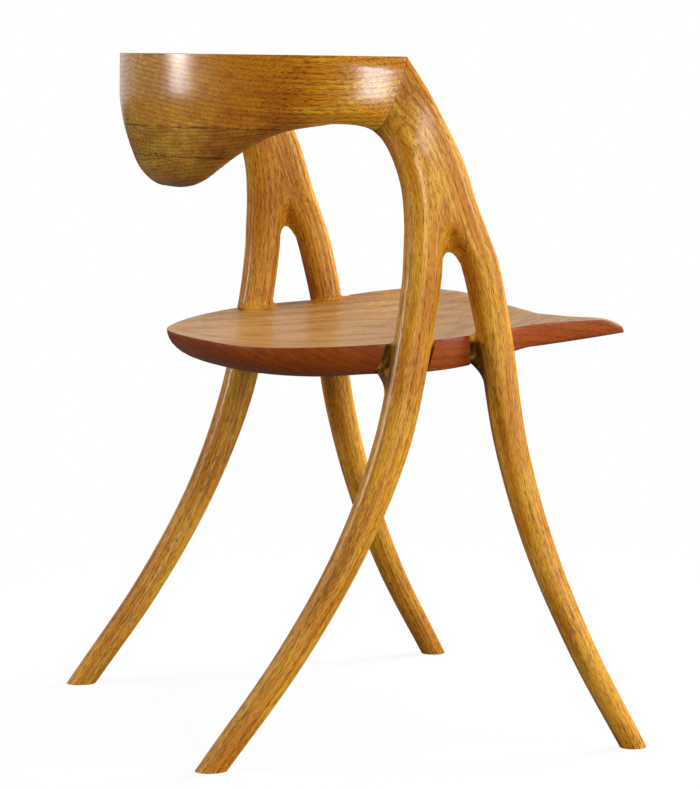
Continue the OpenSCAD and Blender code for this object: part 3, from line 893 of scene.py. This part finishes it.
def oak(name, tones, rings, pores, gloss, extras=()):
    # tones run from the palest to the darkest; rings are ring width, pith distance, wander and strength;
    # pores are threshold and strength; gloss is roughness and coat
    wood = Finish(name)
    grain = wood.node("ShaderNodeAttribute", {"attribute_name": "grain"}, {}, "Vector")
    spot = wood.node("ShaderNodeTexCoord", {}, {}, "Object")
    across, up = wood.part(grain, 1), wood.part(grain, 2)
    width, pith, wander, ringStrength = rings

    sway = wood.noise(wood.scaled(grain, *figure["sway"]))
    far = across + pith
    radius = (far * far + up * up) ** 0.5 + (sway - 0.5) * wander
    uneven = wood.noise(wood.scaled(grain, *figure["uneven"]), detail=1)
    turn = (radius / width + uneven * 0.7).fraction()
    early = wood.step(abs(turn - 0.5), *figure["early"])

    cloud = wood.noise(wood.scaled(spot, *figure["cloud"]))
    band = wood.noise(wood.scaled(grain, *figure["band"]), detail=3)
    streak = wood.noise(wood.scaled(grain, *figure["streak"]), detail=3, rough=0.65)
    fibre = wood.noise(wood.scaled(grain, *figure["fibre"]), detail=1)
    pore = wood.noise(wood.scaled(grain, *figure["pore"]), detail=1.5, rough=0.6)
    threshold, poreStrength = pores
    crowd = early * 0.1 + (cloud - 0.5) * 0.2  # pores crowd together in early wood and in clouds
    poreHere = wood.step(pore + crowd, threshold, threshold + figure["poreSoft"])

    darker = wood.step(band * 0.65 + cloud * 0.35, *figure["bandTone"])
    base = wood.blend(darker, tones["pale"], tones["middle"])
    low, high, strength = figure["streakTone"]
    base = wood.blend(wood.step(streak, low, high) * strength, base, tones["deep"])
    base = wood.blend(early * ringStrength, base, tones["ring"])
    low, high, strength = figure["fibreTone"]
    base = wood.blend(wood.step(fibre, low, high) * strength, base, tones["deep"])
    base = wood.blend(poreHere * poreStrength, base, tones["pore"])
    for extra in extras:
        base = extra(wood, base, spot, grain)
    roughness, coat = gloss
    wood.feed(wood.shader.inputs["Base Color"], base)
    wood.feed(wood.shader.inputs["Roughness"], roughness + poreHere * 0.2 + (streak - 0.5) * 0.16)
    height = (1 - poreHere) + (fibre - 0.5) * 0.5 + (streak - 0.5) * 0.6
    strength, depth = figure["relief"]
    relief = wood.node("ShaderNodeBump", {}, {"Strength": strength, "Distance": depth, "Height": height})
    wood.feed(wood.shader.inputs["Normal"], relief)
    wood.shader.inputs["IOR"].default_value = 1.5
    wood.shader.inputs["Specular IOR Level"].default_value = figure["specular"]
    wood.shader.inputs["Coat Weight"].default_value = coat
    wood.shader.inputs["Coat Roughness"].default_value = figure["coatRough"]
    return wood.material


lineLook = {
    # half width in metres where a line is full and where it has faded, and its strength
    "mitre": (0.0002, 0.0008, 0.55), "glue": (0.0005, 0.0014, 0.85),
    "jitter": 0.004, "broken": (0.42, 0.52),
    "tone": colour(74, 38, 8),
}
# what the ground colour is multiplied with: painted light at the crest's arm ends, painted shade in the
# coves and on the boards' edges
tint = {"paleBackAndArmLight": (1.45, 2.0, 2.2, 1), "cove": (0.13, 0.11, 0.08, 1), "edge": (0.66, 0.25, 0.05, 1)}
arm = {"middleY": 0.175, "dark": (0.02, 0.065)}  # the stretch of the crest that stays darker


def mitreLine(wood, base, spot, grain):
    # thin dark line where the post meets the crest
    flat = Vector((0, mitre["drop"], mitre["run"])).normalized()
    level = flat.dot(Vector((0, mitre["topY"], chair["height"]))) * mm
    inputs = {0: spot, 1: tuple(flat)}
    distance = wood.node("ShaderNodeVectorMath", {"operation": "DOT_PRODUCT"}, inputs, "Value")
    full, gone, strength = lineLook["mitre"]
    near = strength - strength * wood.step(abs(distance - level), full, gone)
    return wood.blend(near, base, lineLook["tone"])


def paleBackAndArmLight(wood, base, spot, grain):
    # the crest's wood is paler round the back, and the arms' ends are paler as a painted pool of light
    away = wood.step(abs(wood.part(spot, 1) - arm["middleY"]), *arm["dark"])
    return wood.blend(away, base, tint["paleBackAndArmLight"], "MULTIPLY")


def glueLine(height):
    # broken dark dashes along the joint between two layers of the crest
    def dashed(wood, base, spot, grain):
        dashes = wood.noise(wood.scaled(grain, *figure["dashes"]))
        jitter = (dashes - 0.5) * lineLook["jitter"]
        full, gone, strength = lineLook["glue"]
        near = 1 - wood.step(abs(wood.part(spot, 2) - height * mm - jitter), full, gone)
        return wood.blend(near * wood.step(dashes, *lineLook["broken"]) * strength, base, lineLook["tone"])
    return dashed


def paintedCoveShade(wood, base, spot, grain):
    # painted shade, and oil that gathered, in the hollow beside a leg
    hollow = wood.node("ShaderNodeAttribute", {"attribute_name": "hollow"}, {}, "Fac")
    return wood.blend(hollow, base, tint["cove"], "MULTIPLY")


def paintedEdgeShade(wood, base, spot, grain):
    # painted shade, redder, on the boards' outer edge, which faces sideways and down
    edge = wood.node("ShaderNodeAttribute", {"attribute_name": "edge"}, {}, "Fac")
    return wood.blend(edge, base, tint["edge"], "MULTIPLY")


print("materials")
legTones = {"pale": colour(224, 164, 48), "middle": colour(198, 125, 18), "deep": colour(142, 75, 5),
            "ring": colour(146, 78, 6), "pore": colour(88, 44, 3)}
legOak = oak("legOak", legTones, rings=(0.0046, 0.055, 0.004, 0.14), pores=(0.57, 0.7),
             gloss=(0.42, 0.22), extras=[mitreLine, paintedCoveShade])
crestTones = {"pale": colour(202, 130, 18), "middle": colour(180, 100, 6), "deep": colour(138, 66, 3),
              "ring": colour(130, 62, 3), "pore": colour(66, 30, 2)}
crestOak = oak("crestOak", crestTones, rings=(0.0055, 0.0, 0.010, 0.14), pores=(0.56, 0.75),
               gloss=(0.3, 0.8), extras=[paleBackAndArmLight, mitreLine, glueLine(glueZ[0])])
layerTones = {"pale": colour(190, 126, 32), "middle": colour(164, 94, 14), "deep": colour(124, 62, 5),
              "ring": colour(116, 58, 5), "pore": colour(54, 26, 3)}
layerOak = oak("layerOak", layerTones, rings=(0.0042, 0.0, 0.009, 0.2), pores=(0.55, 0.75),
               gloss=(0.32, 0.4), extras=[paleBackAndArmLight, glueLine(glueZ[0]), glueLine(glueZ[1])])
seatTones = {"pale": colour(194, 150, 84), "middle": colour(174, 122, 58), "deep": colour(146, 90, 34),
             "ring": colour(128, 74, 28), "pore": colour(108, 64, 26)}
seatOak = oak("seatOak", seatTones, rings=(0.0085, 0.07, 0.012, 0.24), pores=(0.59, 0.45),
              gloss=(0.42, 0.15), extras=[paintedEdgeShade])
jointTones = {"pale": colour(222, 190, 138), "middle": colour(206, 168, 112), "deep": colour(180, 140, 88),
              "ring": colour(170, 130, 80), "pore": colour(130, 96, 56)}
jointWood = oak("jointWood", jointTones, rings=(0.004, 0.05, 0.004, 0.3), pores=(0.6, 0.5),
                gloss=(0.5, 0.0))

dressed = {
    "leg_oak": (legOak, {"rear_leg_right": rearLegRight, "rear_leg_left": rearLegLeft,
                         "front_leg_right": frontLegRight, "front_leg_left": frontLegLeft}),
    "crest_oak": (crestOak, {"crest_arm_right": crestArmRight, "crest_arm_left": crestArmLeft,
                             "crest_middle_layer": crestMiddle, "crest_lower_layer": crestLower}),
    "seat_oak": (seatOak, {"seat_board_" + node: board for node, board in zip(boardNodes, boards)}),
}
for slot, (material, pieces) in dressed.items():
    for node, piece in pieces.items():
        piece.data.materials.clear()
        piece.data.materials.append(layerOak if "layer" in node else material)
        pick(piece)
        bpy.ops.object.shade_smooth_by_angle(angle=crease)
        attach(piece, "root")
        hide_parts(node)


# Hidden joints

print("hidden joints")
# these two kinds are a little smaller than the solids, to stay inside the rounder wood
mitreTurn = (225, 37.6, 733), atan(mitre["run"] / mitre["drop"])
tenons = {
    # name, low corner, high corner and turn of block()
    "front_leg_tenon": ("FrontLegTenon", (196, -87, 436), (227, -71, 444), None),
    "mitre_tenon": ("MitreTenon", (220, 21.6, 720), (230, 53.6, 746), mitreTurn),
}
for node, (name, *shape) in tenons.items():
    left = block(*shape)
    left.name = "left" + name
    for side, piece in [("_right", mirrored(left, "right" + name)), ("_left", left)]:
        piece.data.materials.append(jointWood)
        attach(piece, "root")
        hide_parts(node + side)
for node in ["post_tenons_right", "post_tenons_left", "rear_leg_tenon_right", "rear_leg_tenon_left",
             "seat_dowels", "crest_spline"]:
    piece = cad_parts[node]
    piece.data.materials.clear()
    piece.data.materials.append(jointWood)


# Stage, light and camera

# all of this in metres, radians and watts
cameraSetup = {
    "place": (-3.2323, 1.290, 0.760), "heading": 0.382, "dip": 0.111, "roll": 0.014, "lens": 137.88,
    "clipEnd": 100,
}
stage = {
    "floor": 24.0, "grey": (0.1, 0.1, 0.1, 1), "pale": (0.95, 0.95, 0.95, 1), "rough": 0.9,
    "whiten": 0.88, "shadowReach": (0.45, 1.3),
    "sky": 0.13,  # what the world adds to the light
    # what a gloss mirrors of the world, rising from behind the camera to ahead of it
    "mirrored": (0.02, 0.75), "mirroredFrom": (0.1, 0.9),
}


def plainWhite(name):
    # white to the camera with a faint shadow near the chair, and grey to what it lights
    paint = Finish(name)
    seen = paint.node("ShaderNodeLightPath", {}, {}, "Is Camera Ray")
    spot = paint.node("ShaderNodeTexCoord", {}, {}, "Object")
    away = paint.node("ShaderNodeVectorMath", {"operation": "LENGTH"}, {0: spot}, "Value")
    whiten = stage["whiten"] + (1 - stage["whiten"]) * paint.step(away, *stage["shadowReach"])
    paint.feed(paint.shader.inputs["Base Color"], paint.blend(seen, stage["grey"], stage["pale"]))
    paint.shader.inputs["Roughness"].default_value = stage["rough"]
    glow = paint.node("ShaderNodeEmission", {}, {"Color": (1, 1, 1, 1), "Strength": 1.0})
    matt = Wire(paint, paint.shader.outputs[0])
    blend = paint.node("ShaderNodeMixShader", {}, {0: seen * whiten, 1: matt, 2: glow})
    paint.feed(paint.tree.nodes["Material Output"].inputs["Surface"], blend)
    return paint.material


print("stage")
bpy.ops.object.select_all(action="DESELECT")
bpy.ops.mesh.primitive_plane_add(size=stage["floor"])
floor = bpy.context.object
floor.name = "floor"
floor.data.materials.append(plainWhite("floorPaint"))

world = bpy.data.worlds.new("studio")
bpy.context.scene.world = world
world.use_nodes = True
sky = world.node_tree
skyLight = sky.nodes["Background"]
path = sky.nodes.new("ShaderNodeLightPath")
direction = sky.nodes.new("ShaderNodeTexCoord")
facing = sky.nodes.new("ShaderNodeVectorMath")
facing.operation = "DOT_PRODUCT"
sky.links.new(direction.outputs["Generated"], facing.inputs[0])
facing.inputs[1].default_value = (cos(cameraSetup["heading"]), -sin(cameraSetup["heading"]), 0)
mirrorLevel = sky.nodes.new("ShaderNodeMapRange")
sky.links.new(facing.outputs["Value"], mirrorLevel.inputs["Value"])
low, high = stage["mirroredFrom"]
mirrorLevel.inputs["From Min"].default_value, mirrorLevel.inputs["From Max"].default_value = low, high
low, high = stage["mirrored"]
mirrorLevel.inputs["To Min"].default_value, mirrorLevel.inputs["To Max"].default_value = low, high
glossLevel, cameraLevel = sky.nodes.new("ShaderNodeMix"), sky.nodes.new("ShaderNodeMix")
sky.links.new(path.outputs["Is Glossy Ray"], glossLevel.inputs[0])
glossLevel.inputs[2].default_value = stage["sky"]
sky.links.new(mirrorLevel.outputs[0], glossLevel.inputs[3])
sky.links.new(path.outputs["Is Camera Ray"], cameraLevel.inputs[0])
sky.links.new(glossLevel.outputs[0], cameraLevel.inputs[2])
cameraLevel.inputs[3].default_value = 1.0  # white to the camera
sky.links.new(cameraLevel.outputs[0], skyLight.inputs["Strength"])
skyLight.inputs["Color"].default_value = (1, 1, 1, 1)

lamps = {
    # place, aim, width and height, watts
    "keyLamp": ((-3.04, 0.02, 1.0), (-0.24, 0.1, 0.72), (0.95, 0.7), 48),
    "sideLamp": ((-2.2, -2.3, 1.15), (0, 0, 0.5), (1.3, 1.7), 66),
    "backLamp": ((0.79, 2.68, 0.93), (-0.1, 0.24, 0.72), (0.5, 0.42), 22),
    "fillLamp": ((0.1, 3.2, 2.4), (0, 0.1, 0.6), (2.2, 1.6), 28),
    "topLamp": ((0.2, -0.5, 2.9), (0, -0.1, 0.5), (1.4, 1.4), 26),
    "frontLamp": ((0.75, -2.7, 1.4), (0, 0, 0.5), (1.4, 1.8), 112),
}
for name, (place, aim, size, watts) in lamps.items():
    turn = (Vector(aim) - Vector(place)).to_track_quat("-Z", "Y").to_euler()
    bpy.ops.object.light_add(type="AREA", location=place, rotation=turn)
    lamp = bpy.context.object
    lamp.name = name
    lamp.data.shape = "RECTANGLE"
    lamp.data.size, lamp.data.size_y = size
    lamp.data.energy = watts
    lamp.visible_glossy = name != "frontLamp"  # its mirror image would hide the seat's top from behind

heading, dip = cameraSetup["heading"], cameraSetup["dip"]
ahead = Vector((cos(heading) * cos(dip), -sin(heading) * cos(dip), -sin(dip)))
turn = ahead.to_track_quat("-Z", "Y") @ Quaternion((0, 0, 1), cameraSetup["roll"])
bpy.ops.object.camera_add(location=cameraSetup["place"], rotation=turn.to_euler())
bpy.context.scene.camera = bpy.context.object
bpy.context.object.data.lens = cameraSetup["lens"]
bpy.context.object.data.clip_end = cameraSetup["clipEnd"]

bpy.context.scene.view_settings.view_transform = "Standard"

print("done")
